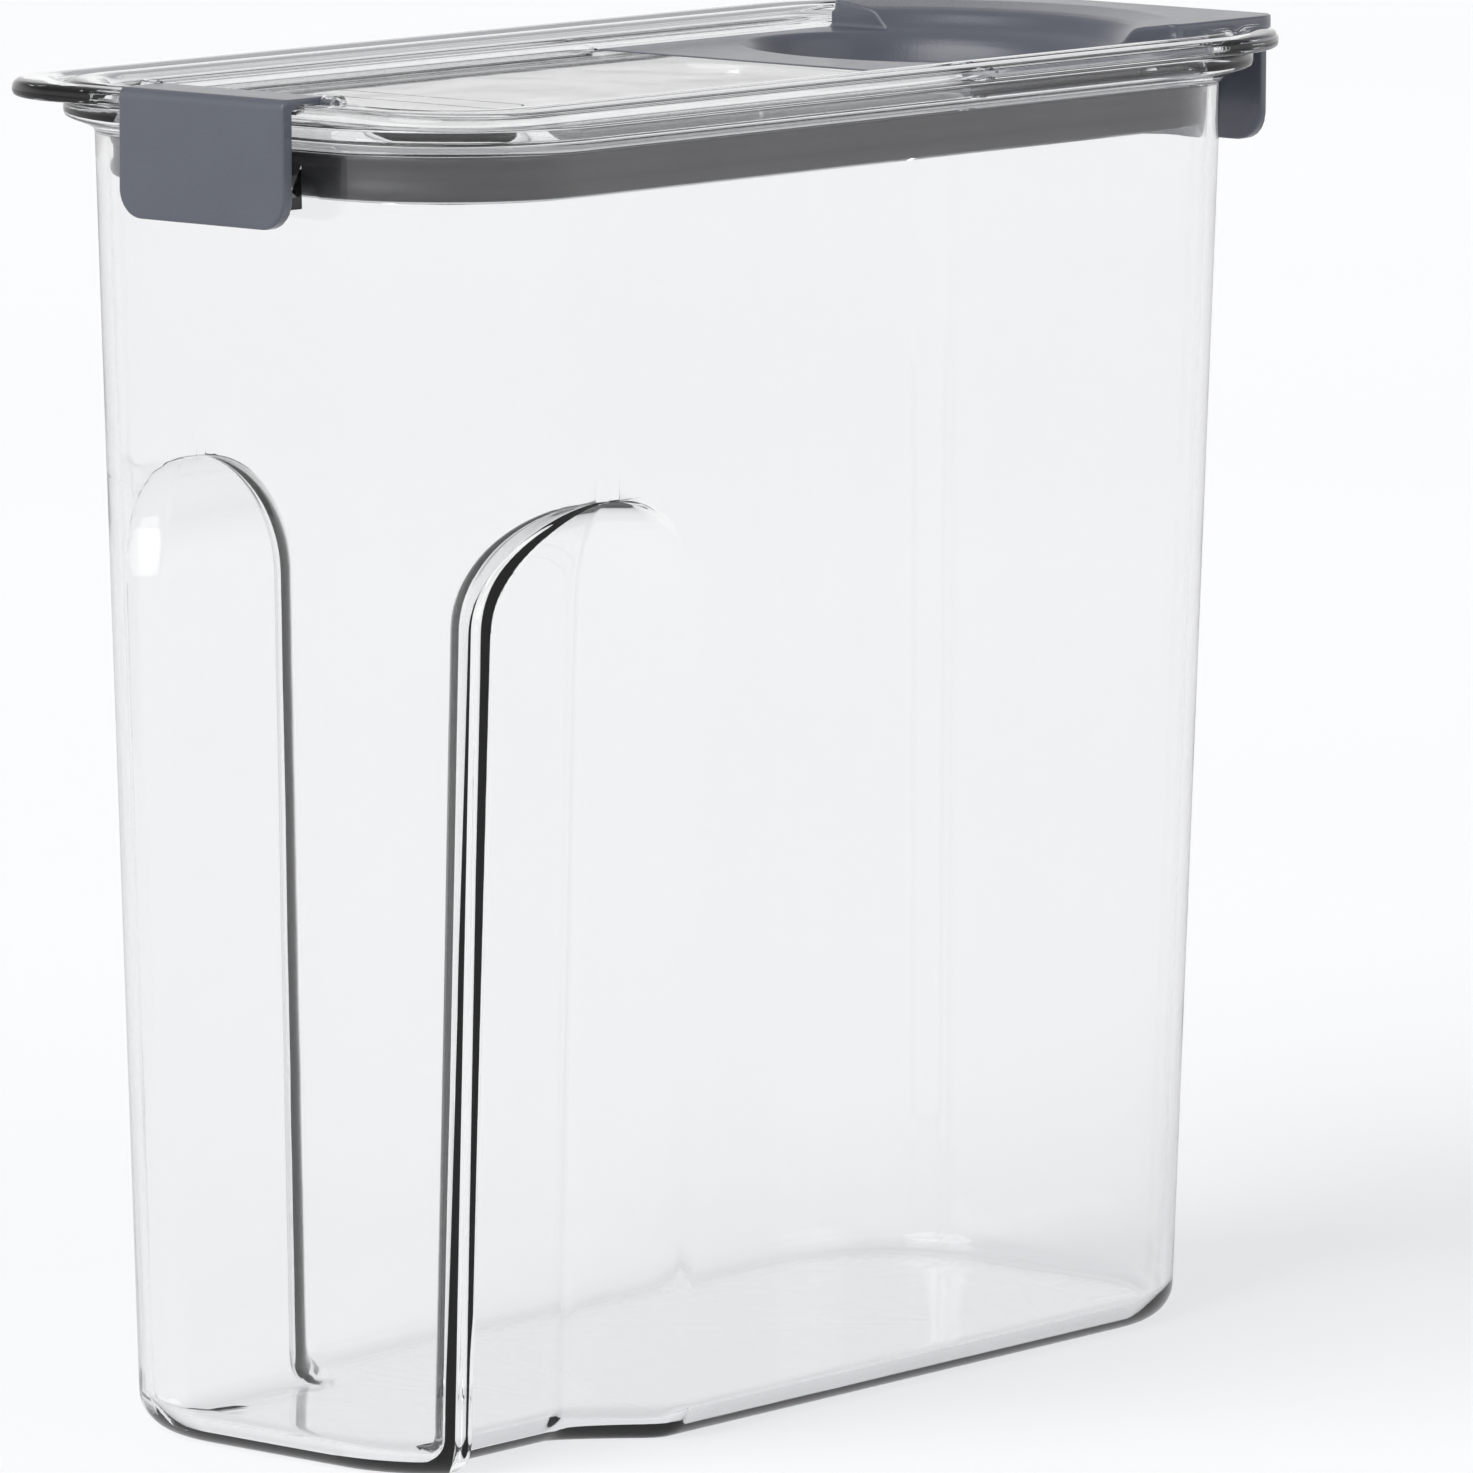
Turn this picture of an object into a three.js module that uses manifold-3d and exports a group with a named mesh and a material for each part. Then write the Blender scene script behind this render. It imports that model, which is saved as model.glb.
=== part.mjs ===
// Clear cereal keeper: a tall drafted container with a hand grip on each long side,
// a clear lid with a grey plug seal, a snap latch at the near end, and a grey pour
// door with its own seal over the pour opening.
// Units are millimetres, +Z is up and +X runs along the length towards the pour door.
// The dimensions below are measured from the middle of the container's base; the whole
// assembly is then moved along X to put the origin in the middle of its footprint.

import * as THREE from 'three';
import { mergeVertices } from 'three/addons/utils/BufferGeometryUtils.js';
import Module from 'manifold-3d';

// ---------------------------------------------------------------- driving dimensions

// An outline is a rounded rectangle: x0 and x1 are its ends, half its half width, and
// near and far the corner radii at the x0 end and the x1 end.
const BODY_BASE = { x0: -109.5, x1: 109.5, half: 45.6, near: 30, far: 30 };
const BODY_TOP = { x0: -115, x1: 115, half: 51, near: 31.5, far: 31.5 };
const COLLAR = { x0: -119.4, x1: 121, half: 55.5, near: 33.6, far: 35 };
const FLANGE = { x0: -121, x1: 124, half: 58.5, near: 20, far: 34 };
const RECESS = { x0: -106.5, x1: 107.5, half: 42.5, near: 15, far: 18 };

const WALL = 2.2;
const FLOOR = 3;
const BASE_ROUND = 6;
const INNER_ROUND = 4;
const GAP = 0.3;

const WALL_TOP = 230.4;
const COLLAR_LOW = 232.6;
const BODY_RIM = 235.2;

// Hand grip in each long side, open at the base and closed by an arch at the top.
const GRIP_NEAR = -100.5;
const GRIP_FAR = -50.5;
const GRIP_MIDDLE = -73;
const GRIP_DEPTH = 13.6;
const GRIP_STEP = 5.5;
const GRIP_RAMP = 15.5;
const GRIP_RAMP_BEND = 1.3;
const GRIP_CREASE = 0.16;
const GRIP_STRAIGHT = 148;
const GRIP_TOP = 169;
const GRIP_LEAST = 0.06;
const GRIP_EDGE_ROUND = 10;
const GRIP_CROWDING = 1.7;

// Wedge on the container's near end that the front latch snaps over.
const WEDGE_REACH = -119.3;
const WEDGE_LEDGE = 220.2;
const WEDGE_HALF = 15;

// Lid.
const FLANGE_LOW = 235.6;
const RIM_TOP = 238.6;
const RECESS_EDGE = 236.6;
const PANEL_TOP = 234.8;
const PANEL = 2;
const SKIRT_LOW = 221.6;
const SKIRT = 1.8;
const SEAL_SPACE = 2.7;
const SEAL_LOW = 222.2;
const SEAL_HIGH = 231;

// Front latch.
const LATCH_HALF = 19;
const LATCH_FACE = -124;
const LATCH_PLATE = 2.4;
const LATCH_LOW = 217.2;
const LATCH_CORNER = 5;
const LATCH_AXIS = { x: -113.4, z: 238.4 };
const LATCH_BARREL = 1.2;
const LATCH_HOOK_TIP = -120.2;
const LATCH_HOOK_HIGH = 219.6;
const LATCH_NOTCH_HALF = 19.4;
const NOTCH_FLOOR = 236.9;
const PIN = 0.8;
const PIN_HOLE = 1.1;
const PIN_REACH = 2.2;
const KNUCKLE = 1.6;
const KNUCKLE_WIDTH = 3.2;

// Pour door.
const DOOR_AXIS = { x: 28.5, z: 233.8 };
const DOOR_BARREL = 1.1;
const DOOR_EDGE = 26.6;
const DOOR_LOW = 232.7;
const DOOR_HIGH = 234.9;
const SEAT = { x0: 24, x1: 108, half: 44.5, near: 3, far: 22 };
const SEAT_TOP = 232.3;
const SEAT_LOW = 230.5;
const LIP_TOP = 239.9;
const LIP_LOW = 237.3;
const TAB_FACE = 127.2;
const TAB_INNER = 124.6;
const TAB_HALF = 37;
const TAB_LOW = 216.2;
const TAB_CORNER = 6;
const LIP = { x0: 94, x1: TAB_FACE, half: 41, near: 2, far: 8 };
const LIP_NOTCH_HALF = 41.4;
const WELL_GAP = 0.4;
const DOOR_PIN_REACH = 1.9;

// Oval finger scoop in the door, and the oval pour opening below it.
const SCOOP = { x: 72.5, rx: 31, ry: 37 };
const OPENING = { x: 72.9, rx: 32.3, ry: 38 };
const PLUG = { x: 72.5, rx: 29.6, ry: 35.4 };
const PLUG_LOW = 224.8;
const SCOOP_FLOOR = 226.6;
const DOOR_SEAL_LOW = 229.6;
const DOOR_SEAL_HIGH = 232.3;
const DOOR_SEAL_CLEARANCE = 0.4;

// Steps along curves.
const CORNER_STEPS = 8;
const GRIP_STEPS = 15;
const OVAL_STEPS = 40;
const ROUND_STEPS = 3;
const PIN_STEPS = 16;

// ---------------------------------------------------------------- solids

const wasm = await Module();
wasm.setup();

function toSolid(geometry) {
  const bare = geometry.clone();
  bare.deleteAttribute('normal');
  bare.deleteAttribute('uv');
  const merged = mergeVertices(bare, 1e-4);
  return new wasm.Manifold(new wasm.Mesh({
    numProp: 3,
    vertProperties: new Float32Array(merged.attributes.position.array),
    triVerts: new Uint32Array(merged.index.array),
  }));
}

function toGeometry(solid) {
  const mesh = solid.getMesh();
  const geometry = new THREE.BufferGeometry();
  geometry.setAttribute('position', new THREE.BufferAttribute(mesh.vertProperties, 3));
  geometry.setIndex(new THREE.BufferAttribute(mesh.triVerts, 1));
  geometry.computeVertexNormals();
  return geometry;
}

function join(first, ...others) {
  return others.reduce((sum, other) => sum.add(other), first);
}

function cut(first, ...others) {
  return others.reduce((rest, other) => rest.subtract(other), first);
}

// ---------------------------------------------------------------- outlines and lofts

function between(a, b, t) {
  return {
    x0: a.x0 + (b.x0 - a.x0) * t,
    x1: a.x1 + (b.x1 - a.x1) * t,
    half: a.half + (b.half - a.half) * t,
    near: a.near + (b.near - a.near) * t,
    far: a.far + (b.far - a.far) * t,
  };
}

function inset(outline, d) {
  return {
    x0: outline.x0 + d,
    x1: outline.x1 - d,
    half: outline.half - d,
    near: Math.max(outline.near - d, 0.4),
    far: Math.max(outline.far - d, 0.4),
  };
}

// Corner arc from angle a0 to a1 about (cx, cy).
function arc(cx, cy, radius, a0, a1, steps = CORNER_STEPS) {
  const points = [];
  for (let i = 0; i <= steps; i += 1) {
    const angle = a0 + ((a1 - a0) * i) / steps;
    points.push(new THREE.Vector2(cx + radius * Math.cos(angle), cy + radius * Math.sin(angle)));
  }
  return points;
}

// Counter-clockwise ring of a rounded rectangle.
function ring(outline) {
  const { x0, x1, half, near, far } = outline;
  const quarter = Math.PI / 2;
  return [
    ...arc(x0 + near, near - half, near, 2 * quarter, 3 * quarter),
    ...arc(x1 - far, far - half, far, 3 * quarter, 4 * quarter),
    ...arc(x1 - far, half - far, far, 0, quarter),
    ...arc(x0 + near, half - near, near, quarter, 2 * quarter),
  ];
}

function ovalRing(x, rx, ry) {
  const points = [];
  for (let i = 0; i < OVAL_STEPS; i += 1) {
    const angle = (2 * Math.PI * i) / OVAL_STEPS;
    points.push(new THREE.Vector2(x + rx * Math.cos(angle), ry * Math.sin(angle)));
  }
  return points;
}

// Closed skin through rings of equal length. Each layer is { points, z }.
function loft(layers) {
  const count = layers[0].points.length;
  const positions = [];
  const index = [];
  for (const { points, z } of layers) {
    for (const point of points) {
      positions.push(point.x, point.y, z);
    }
  }
  for (let k = 0; k + 1 < layers.length; k += 1) {
    for (let i = 0; i < count; i += 1) {
      const a = k * count + i;
      const b = k * count + ((i + 1) % count);
      index.push(a, b, b + count, a, b + count, a + count);
    }
  }
  const last = (layers.length - 1) * count;
  for (const [a, b, c] of THREE.ShapeUtils.triangulateShape(layers[0].points, [])) {
    index.push(a, c, b);
  }
  for (const [a, b, c] of THREE.ShapeUtils.triangulateShape(layers.at(-1).points, [])) {
    index.push(last + a, last + b, last + c);
  }
  const geometry = new THREE.BufferGeometry();
  geometry.setAttribute('position', new THREE.Float32BufferAttribute(positions, 3));
  geometry.setIndex(index);
  return geometry;
}

function loftSolid(layers) {
  return toSolid(loft(layers));
}

// Straight-sided block of one outline between two heights.
function slab(points, low, high) {
  return loftSolid([{ points, z: low }, { points, z: high }]);
}

function block(x0, x1, half, low, high) {
  const geometry = new THREE.BoxGeometry(x1 - x0, 2 * half, high - low);
  geometry.translate((x0 + x1) / 2, 0, (low + high) / 2);
  return toSolid(geometry);
}

// Round bar along Y through (axis.x, axis.z).
function bar(axis, radius, y0, y1) {
  const geometry = new THREE.CylinderGeometry(radius, radius, y1 - y0, PIN_STEPS);
  geometry.translate(axis.x, (y0 + y1) / 2, axis.z);
  return toSolid(geometry);
}

// Outline in the XZ plane carried across Y from -half to half.
function carriedAcross(points, half) {
  const geometry = new THREE.ExtrudeGeometry(new THREE.Shape(points), {
    depth: 2 * half,
    bevelEnabled: false,
  });
  geometry.rotateX(Math.PI / 2);
  geometry.translate(0, half, 0);
  return toSolid(geometry);
}

// ---------------------------------------------------------------- container

function bodyOutline(z) {
  return between(BODY_BASE, BODY_TOP, z / WALL_TOP);
}

// How much of the grip is left at a height: 1 up to the arch, falling to 0 at its top.
function gripReach(z) {
  if (z <= GRIP_STRAIGHT) return 1;
  const rise = Math.min((z - GRIP_STRAIGHT) / (GRIP_TOP - GRIP_STRAIGHT), 1);
  return Math.sqrt(1 - rise * rise);
}

// Point at a distance along the near corner and then the long side.
function sidePoint(outline, distance) {
  const { x0, half, near } = outline;
  const corner = (near * Math.PI) / 2;
  if (distance < corner) {
    const angle = Math.PI + distance / near;
    return new THREE.Vector2(x0 + near + near * Math.cos(angle), near - half + near * Math.sin(angle));
  }
  return new THREE.Vector2(x0 + near + distance - corner, -half);
}

function sideDistance(outline, x) {
  const { x0, near } = outline;
  if (x < x0 + near) return near * Math.acos((x0 + near - x) / near);
  return (near * Math.PI) / 2 + x - x0 - near;
}

// Larger of a and b, blended where they differ by less than round.
function softMax(a, b, round) {
  const near = Math.max(round - Math.abs(a - b), 0) / round;
  return Math.max(a, b) + (near * near * round) / 4;
}

// Ring of the container with its two grips. wall is 0 on the outside and the wall
// thickness on the inside, where the grip stands in by that much more. The grip's
// steep side meets the near corner in a rounded ridge, and its far side climbs back to
// the flat of the long side in a soft crease.
function gripRing(outline, z, wall) {
  const reach = gripReach(z);
  const width = Math.max(reach, GRIP_LEAST);
  const start = GRIP_MIDDLE - (GRIP_MIDDLE - GRIP_NEAR) * width - wall;
  const end = GRIP_MIDDLE + (GRIP_FAR - GRIP_MIDDLE) * width + wall / 2;
  const s0 = sideDistance(outline, start);
  const s1 = sideDistance(outline, end + GRIP_RAMP * GRIP_CREASE * width);
  const side = [];
  for (let i = 0; i <= CORNER_STEPS; i += 1) {
    side.push(sidePoint(outline, (s0 * i) / CORNER_STEPS));
  }
  for (let i = 1; i <= GRIP_STEPS; i += 1) {
    const point = sidePoint(outline, s0 + (s1 - s0) * (i / GRIP_STEPS) ** GRIP_CROWDING);
    const step = THREE.MathUtils.smoothstep(point.x, start, start + GRIP_STEP * width);
    const climb = Math.max(1 + (point.x - end) / (GRIP_RAMP * width), 0) ** GRIP_RAMP_BEND;
    const ramp = softMax(1 - climb, 0, GRIP_CREASE);
    const floor = GRIP_DEPTH * reach * step * ramp - outline.half;
    const round = 0.01 + GRIP_EDGE_ROUND * reach * step * ramp;
    point.y = softMax(point.y, floor, round);
    side.push(point);
  }
  const { x1, half, far } = outline;
  side.push(...arc(x1 - far, far - half, far, 1.5 * Math.PI, 2 * Math.PI));
  const mirrored = side.map((point) => new THREE.Vector2(point.x, -point.y)).reverse();
  return [...side, ...mirrored];
}

// Heights at which the walls need a ring: the arch is curved, the rest is straight.
function wallHeights(low, high) {
  const heights = [low, GRIP_STRAIGHT];
  const steps = 6;
  for (let i = 1; i <= steps; i += 1) {
    heights.push(GRIP_STRAIGHT + (GRIP_TOP - GRIP_STRAIGHT) * Math.sin((i * Math.PI) / 2 / steps));
  }
  heights.push(high);
  return heights;
}

function makeContainer() {
  const layers = [];
  for (let i = 0; i < ROUND_STEPS; i += 1) {
    const angle = (i * Math.PI) / 2 / ROUND_STEPS;
    const z = BASE_ROUND * (1 - Math.cos(angle));
    const outline = inset(bodyOutline(z), BASE_ROUND * (1 - Math.sin(angle)));
    layers.push({ points: gripRing(outline, z, 0), z });
  }
  for (const z of wallHeights(BASE_ROUND, WALL_TOP)) {
    layers.push({ points: gripRing(bodyOutline(z), z, 0), z });
  }
  layers.push({ points: gripRing(COLLAR, COLLAR_LOW, 0), z: COLLAR_LOW });
  layers.push({ points: gripRing(COLLAR, BODY_RIM, 0), z: BODY_RIM });
  const inner = (z) => inset(bodyOutline(z), WALL);
  for (const z of wallHeights(FLOOR + INNER_ROUND, BODY_RIM).reverse()) {
    layers.push({ points: gripRing(inner(z), z, WALL), z });
  }
  for (let i = ROUND_STEPS - 1; i >= 0; i -= 1) {
    const angle = (i * Math.PI) / 2 / ROUND_STEPS;
    const z = FLOOR + INNER_ROUND * (1 - Math.cos(angle));
    const outline = inset(inner(z), INNER_ROUND * (1 - Math.sin(angle)));
    layers.push({ points: gripRing(outline, z, WALL), z });
  }
  const shell = loftSolid(layers);

  const root = BODY_TOP.x0 + 1;
  const wedge = carriedAcross([
    new THREE.Vector2(root, WEDGE_LEDGE),
    new THREE.Vector2(root, WALL_TOP - 1),
    new THREE.Vector2(WEDGE_REACH, WEDGE_LEDGE),
  ], WEDGE_HALF);
  return toGeometry(join(shell, wedge));
}

// ---------------------------------------------------------------- lid

function skirtOutline() {
  return inset(bodyOutline(SKIRT_LOW), WALL + SEAL_SPACE);
}

function makeLid() {
  const skirt = skirtOutline();
  const layers = [];
  const add = (outline, z) => layers.push({ points: ring(outline), z });
  add(inset(skirt, SKIRT), PANEL_TOP - PANEL);
  add(inset(skirt, SKIRT), SKIRT_LOW);
  add(skirt, SKIRT_LOW);
  add(skirt, FLANGE_LOW);
  // Rim section from the flange edge (0) to the recess edge (1).
  const rim = [
    [0.02, FLANGE_LOW],
    [0, FLANGE_LOW + 1],
    [0.02, RIM_TOP - 0.8],
    [0.09, RIM_TOP],
    [0.36, RIM_TOP],
    [0.41, RIM_TOP - 0.7],
    [0.5, RIM_TOP - 0.7],
    [0.55, RIM_TOP - 0.2],
    [0.78, RIM_TOP - 0.5],
    [0.88, RECESS_EDGE + 0.3],
    [1, RECESS_EDGE],
    [1, PANEL_TOP],
  ];
  for (const [t, z] of rim) {
    add(between(FLANGE, RECESS, t), z);
  }
  const cover = loftSolid(layers);

  const above = LIP_TOP + 1;
  const seat = slab(ring(SEAT), SEAT_LOW, PANEL_TOP - 1);
  const doorWell = slab(ring({ ...RECESS, x0: DOOR_EDGE, near: 1.5 }), SEAT_TOP, above);
  const pourOpening = slab(ovalRing(OPENING.x, OPENING.rx, OPENING.ry), SEAT_LOW - 1, above);
  const lipNotch = block(LIP.x0 - 1, FLANGE.x1 + 1, LIP_NOTCH_HALF, LIP_LOW - GAP, above);
  const latchNotch = block(FLANGE.x0 - 1, LATCH_AXIS.x + 2.6, LATCH_NOTCH_HALF, NOTCH_FLOOR, above);
  const knuckles = [-1, 1].map((side) => {
    const ends = [side * LATCH_NOTCH_HALF, side * (LATCH_NOTCH_HALF + KNUCKLE_WIDTH)];
    return bar(LATCH_AXIS, KNUCKLE, Math.min(...ends), Math.max(...ends));
  });
  const latchHoles = bar(LATCH_AXIS, PIN_HOLE, -LATCH_HALF - PIN_REACH - GAP, LATCH_HALF + PIN_REACH + GAP);
  const doorReach = RECESS.half + PIN_REACH;
  const doorHoles = bar(DOOR_AXIS, PIN_HOLE, -doorReach, doorReach);

  const whole = join(cover, seat, ...knuckles);
  return toGeometry(cut(whole, doorWell, pourOpening, lipNotch, latchNotch, latchHoles, doorHoles));
}

function makeLidSeal() {
  const outer = inset(bodyOutline(SEAL_LOW), WALL + GAP);
  const inner = inset(skirtOutline(), -GAP);
  const lip = 0.5;
  const groove = (SEAL_HIGH - SEAL_LOW) / 5;
  const body = loftSolid([
    { points: ring(inset(outer, lip)), z: SEAL_LOW },
    { points: ring(outer), z: SEAL_LOW + groove },
    { points: ring(inset(outer, lip)), z: SEAL_LOW + 2 * groove },
    { points: ring(inset(outer, lip)), z: SEAL_LOW + 3 * groove },
    { points: ring(outer), z: SEAL_LOW + 4 * groove },
    { points: ring(inset(outer, lip)), z: SEAL_HIGH },
  ]);
  return toGeometry(cut(body, slab(ring(inner), SEAL_LOW - 1, SEAL_HIGH + 1)));
}

// ---------------------------------------------------------------- front latch

// Face plate outline across Y, with rounded lower corners.
function plateShape(half, low, high, corner) {
  const shape = new THREE.Shape();
  shape.moveTo(-half, high);
  shape.lineTo(-half, low + corner);
  shape.absarc(corner - half, low + corner, corner, Math.PI, 1.5 * Math.PI);
  shape.absarc(half - corner, low + corner, corner, 1.5 * Math.PI, 2 * Math.PI);
  shape.lineTo(half, high);
  return shape;
}

// Upright plate from x0 to x1 with the outline of plateShape.
function uprightPlate(shape, x0, x1) {
  const geometry = new THREE.ExtrudeGeometry(shape, {
    depth: x1 - x0,
    bevelEnabled: false,
    curveSegments: 6,
  });
  geometry.rotateX(Math.PI / 2);
  geometry.rotateZ(Math.PI / 2);
  geometry.translate(x0, 0, 0);
  return toSolid(geometry);
}

function makeLatch() {
  const top = LATCH_AXIS.z + LATCH_BARREL;
  const inner = LATCH_FACE + LATCH_PLATE;
  const face = uprightPlate(plateShape(LATCH_HALF, LATCH_LOW, top, LATCH_CORNER), LATCH_FACE, inner);
  const cover = block(LATCH_FACE, LATCH_AXIS.x, LATCH_HALF, top - 1.9, top);
  const barrel = bar(LATCH_AXIS, LATCH_BARREL, -LATCH_HALF, LATCH_HALF);
  const pins = bar(LATCH_AXIS, PIN, -LATCH_HALF - PIN_REACH, LATCH_HALF + PIN_REACH);
  const hook = block(inner - 0.5, LATCH_HOOK_TIP, LATCH_HALF - LATCH_CORNER, LATCH_LOW, LATCH_HOOK_HIGH);
  const softEdge = cut(
    block(LATCH_FACE - 1, LATCH_FACE + 1, LATCH_HALF + 1, top - 1, top + 1),
    bar({ x: LATCH_FACE + 1, z: top - 1 }, 1, -LATCH_HALF - 2, LATCH_HALF + 2),
  );
  return toGeometry(cut(join(face, cover, barrel, pins, hook), softEdge));
}

// ---------------------------------------------------------------- pour door

function makeDoor() {
  const inWell = { ...inset(RECESS, WELL_GAP), x0: DOOR_AXIS.x, near: 0.4 };
  const pinEnd = inWell.half + DOOR_PIN_REACH;
  const plate = slab(ring(inWell), DOOR_LOW, DOOR_HIGH);
  const barrel = bar(DOOR_AXIS, DOOR_BARREL, -inWell.half, inWell.half);
  const pins = bar(DOOR_AXIS, PIN, -pinEnd, pinEnd);
  const plug = loftSolid([
    { points: ovalRing(PLUG.x, PLUG.rx - 1, PLUG.ry - 1), z: PLUG_LOW },
    { points: ovalRing(PLUG.x, PLUG.rx, PLUG.ry), z: DOOR_LOW + 0.5 },
  ]);
  const riser = slab(ring(inWell), DOOR_LOW, LIP_LOW + 0.5)
    .intersect(block(LIP.x0, LIP.x1, LIP.half, DOOR_LOW, LIP_LOW + 0.5));
  const lip = slab(ring(LIP), LIP_LOW, LIP_TOP);
  const tab = uprightPlate(plateShape(TAB_HALF, TAB_LOW, LIP_TOP - 0.5, TAB_CORNER), TAB_INNER, TAB_FACE)
    .intersect(slab(ring(LIP), TAB_LOW - 1, LIP_TOP));

  // The scoop is a bowl in the plate whose far side runs on up the lip.
  const scoopSection = [
    [-11, SCOOP_FLOOR],
    [-6, SCOOP_FLOOR + 0.5],
    [-3.4, SCOOP_FLOOR + 2.4],
    [-2.8, DOOR_LOW],
    [-1.2, DOOR_HIGH - 0.6],
    [0, DOOR_HIGH],
    [1.8, LIP_LOW - 0.1],
    [5, LIP_LOW + 1.3],
    [10, LIP_TOP + 0.1],
    [11, LIP_TOP + 1],
  ];
  const scoop = loftSolid(scoopSection.map(([grow, z]) => (
    { points: ovalRing(SCOOP.x, SCOOP.rx + grow, SCOOP.ry + grow * 0.7), z }
  )));
  return toGeometry(cut(join(plate, barrel, pins, plug, riser, lip, tab), scoop));
}

function makeDoorSeal() {
  const clear = DOOR_SEAL_CLEARANCE;
  const outer = slab(
    ovalRing(OPENING.x, OPENING.rx - clear, OPENING.ry - clear),
    DOOR_SEAL_LOW,
    DOOR_SEAL_HIGH,
  );
  const inner = slab(
    ovalRing(PLUG.x, PLUG.rx + GAP, PLUG.ry + GAP),
    DOOR_SEAL_LOW - 1,
    DOOR_SEAL_HIGH + 1,
  );
  return toGeometry(cut(outer, inner));
}

// ---------------------------------------------------------------- materials and assembly

const clear = () => new THREE.MeshStandardMaterial({
  color: 0xeef2f4,
  roughness: 0.06,
  metalness: 0,
  transparent: true,
  opacity: 0.3,
});
const slate = () => new THREE.MeshStandardMaterial({ color: 0x5a606c, roughness: 0.45, metalness: 0 });
const sealGrey = () => new THREE.MeshStandardMaterial({ color: 0x4b4d54, roughness: 0.65, metalness: 0 });

function part(name, geometry, material) {
  const mesh = new THREE.Mesh(geometry, material);
  mesh.name = name;
  return mesh;
}

const container = part('container_body', makeContainer(), clear());

const lid = new THREE.Group();
lid.add(part('lid_cover', makeLid(), clear()));
lid.add(part('lid_seal', makeLidSeal(), sealGrey()));
lid.add(part('front_latch', makeLatch(), slate()));

const door = new THREE.Group();
door.add(part('pour_door', makeDoor(), slate()));
door.add(part('door_seal', makeDoorSeal(), sealGrey()));
lid.add(door);

const canister = new THREE.Group();
canister.add(container, lid);
canister.position.x = -(LATCH_FACE + TAB_FACE) / 2;

export default canister;
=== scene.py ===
import math

import bpy
import numpy as np
from mathutils import Matrix, Vector


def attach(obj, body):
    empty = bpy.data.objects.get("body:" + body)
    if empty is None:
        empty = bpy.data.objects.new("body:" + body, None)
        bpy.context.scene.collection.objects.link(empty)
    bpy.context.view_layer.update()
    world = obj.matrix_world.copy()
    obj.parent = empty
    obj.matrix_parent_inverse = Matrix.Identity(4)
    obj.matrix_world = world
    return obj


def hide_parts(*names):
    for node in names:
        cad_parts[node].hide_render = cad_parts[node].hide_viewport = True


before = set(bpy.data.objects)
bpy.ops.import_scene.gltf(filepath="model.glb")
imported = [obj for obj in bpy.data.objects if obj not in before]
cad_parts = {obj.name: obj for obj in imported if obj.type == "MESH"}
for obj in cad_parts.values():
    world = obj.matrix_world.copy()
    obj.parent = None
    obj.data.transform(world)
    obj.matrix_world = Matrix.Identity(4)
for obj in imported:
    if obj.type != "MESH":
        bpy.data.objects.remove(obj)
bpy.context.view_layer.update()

MM = 0.001

# ------------------------------------------------------------------ dimensions, mm
# The same as in part.mjs, measured from the middle of the container's base. SHIFT then
# moves everything along X into the row frame.

SHIFT = -1.6


def outline(x0, x1, half, near, far):
    return np.array([x0, x1, half, near, far], float)


BODY_BASE = outline(-109.5, 109.5, 45.6, 30, 30)
BODY_TOP = outline(-115, 115, 51, 31.5, 31.5)
COLLAR = outline(-119.4, 121, 55.5, 33.6, 35)
FLANGE = outline(-121, 124, 58.5, 20, 34)
RECESS = outline(-106.5, 107.5, 42.5, 15, 18)

WALL = 2.2
FLOOR = 3
BASE_ROUND = 6
INNER_ROUND = 4
WALL_TOP = 230.4
BODY_RIM = 235.2

GRIP_NEAR = -100.5
GRIP_FAR = -50.5
GRIP_MIDDLE = -73
GRIP_DEPTH = 13.6
GRIP_STEP = 5.5
GRIP_RAMP = 15.5
GRIP_RAMP_BEND = 1.3
GRIP_CREASE = 0.16
GRIP_STRAIGHT = 148
GRIP_TOP = 169
GRIP_LEAST = 0.06
GRIP_EDGE_ROUND = 10

WEDGE_REACH = -119.3
WEDGE_LEDGE = 220.2
WEDGE_HALF = 15

FLANGE_LOW = 235.6
RIM_TOP = 238.6
RECESS_EDGE = 236.6
PANEL_TOP = 234.8
PANEL = 2
SKIRT_LOW = 221.6
SKIRT = 1.8
SEAL_SPACE = 2.7
SEAL_LOW = 222.2
SEAL_HIGH = 231

LATCH_HALF = 19
LATCH_FACE = -124
LATCH_PLATE = 2.4
LATCH_LOW = 217.2
HOOK_TIP = -120.2
LATCH_CORNER = 5
LATCH_X, LATCH_Z = -113.4, 238.4
NOTCH_HALF = 19.4
NOTCH_FLOOR = 236.9

DOOR_X, DOOR_Z = 28.5, 233.8
DOOR_EDGE = 26.6
DOOR_LOW = 232.7
DOOR_HIGH = 234.9
SEAT = outline(24, 108, 44.5, 3, 22)
SEAT_TOP = 232.3
SEAT_LOW = 230.5
LIP_LOW = 237.3
LIP_TOP = 239.9
TAB_FACE = 127.2
TAB_INNER = 124.6
TAB_HALF = 37
TAB_LOW = 216.2
TAB_CORNER = 6
LIP = outline(94, TAB_FACE, 41, 2, 8)
LIP_NOTCH_HALF = 41.4
SCOOP = (72.5, 31, 37)
OPENING = (72.9, 32.3, 38)
PLUG = (72.5, 29.6, 35.4)
PLUG_LOW = 224.8


# ------------------------------------------------------------------ outlines

def inset(o, d):
    return outline(o[0] + d, o[1] - d, o[2] - d, max(o[3] - d, 0.4), max(o[4] - d, 0.4))


def body_outline(z):
    return BODY_BASE + (BODY_TOP - BODY_BASE) * (z / WALL_TOP)


def mirrored(side):
    """The whole ring from its half on the -Y side, which runs from the near end to the far end."""
    side = np.asarray(side, float)
    other = side[1:-1][::-1] * [1, -1]
    return np.vstack([side, other])


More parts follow.
